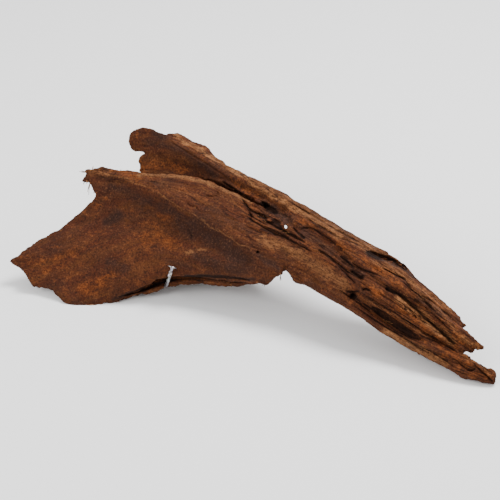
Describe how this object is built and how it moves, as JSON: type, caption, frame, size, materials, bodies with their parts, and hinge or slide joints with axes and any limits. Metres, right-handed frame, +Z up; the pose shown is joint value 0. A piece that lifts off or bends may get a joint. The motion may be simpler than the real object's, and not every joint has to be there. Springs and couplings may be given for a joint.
{
  "type": "piece of driftwood",
  "caption": "Weathered piece of driftwood: a ridged, furrowed shaft with a splintered tip that fans out into thin curved wings, with a bent nail driven into one of them.",
  "frame": {"origin": "on the floor, under the middle of the piece's bounding box", "axes": "+X along the piece from the wings to the splintered tip, +Z up, -Y towards the side that the front wing faces"},
  "size_m": [0.5145, 0.1941, 0.1221],
  "materials": {
    "wood": "dry weathered reddish brown wood, matte",
    "galvanised_steel": "dull galvanised grey"
  },
  "bodies": {
    "root": {"driftwood": "wood", "nail": "galvanised_steel"}
  },
  "joints": []
}
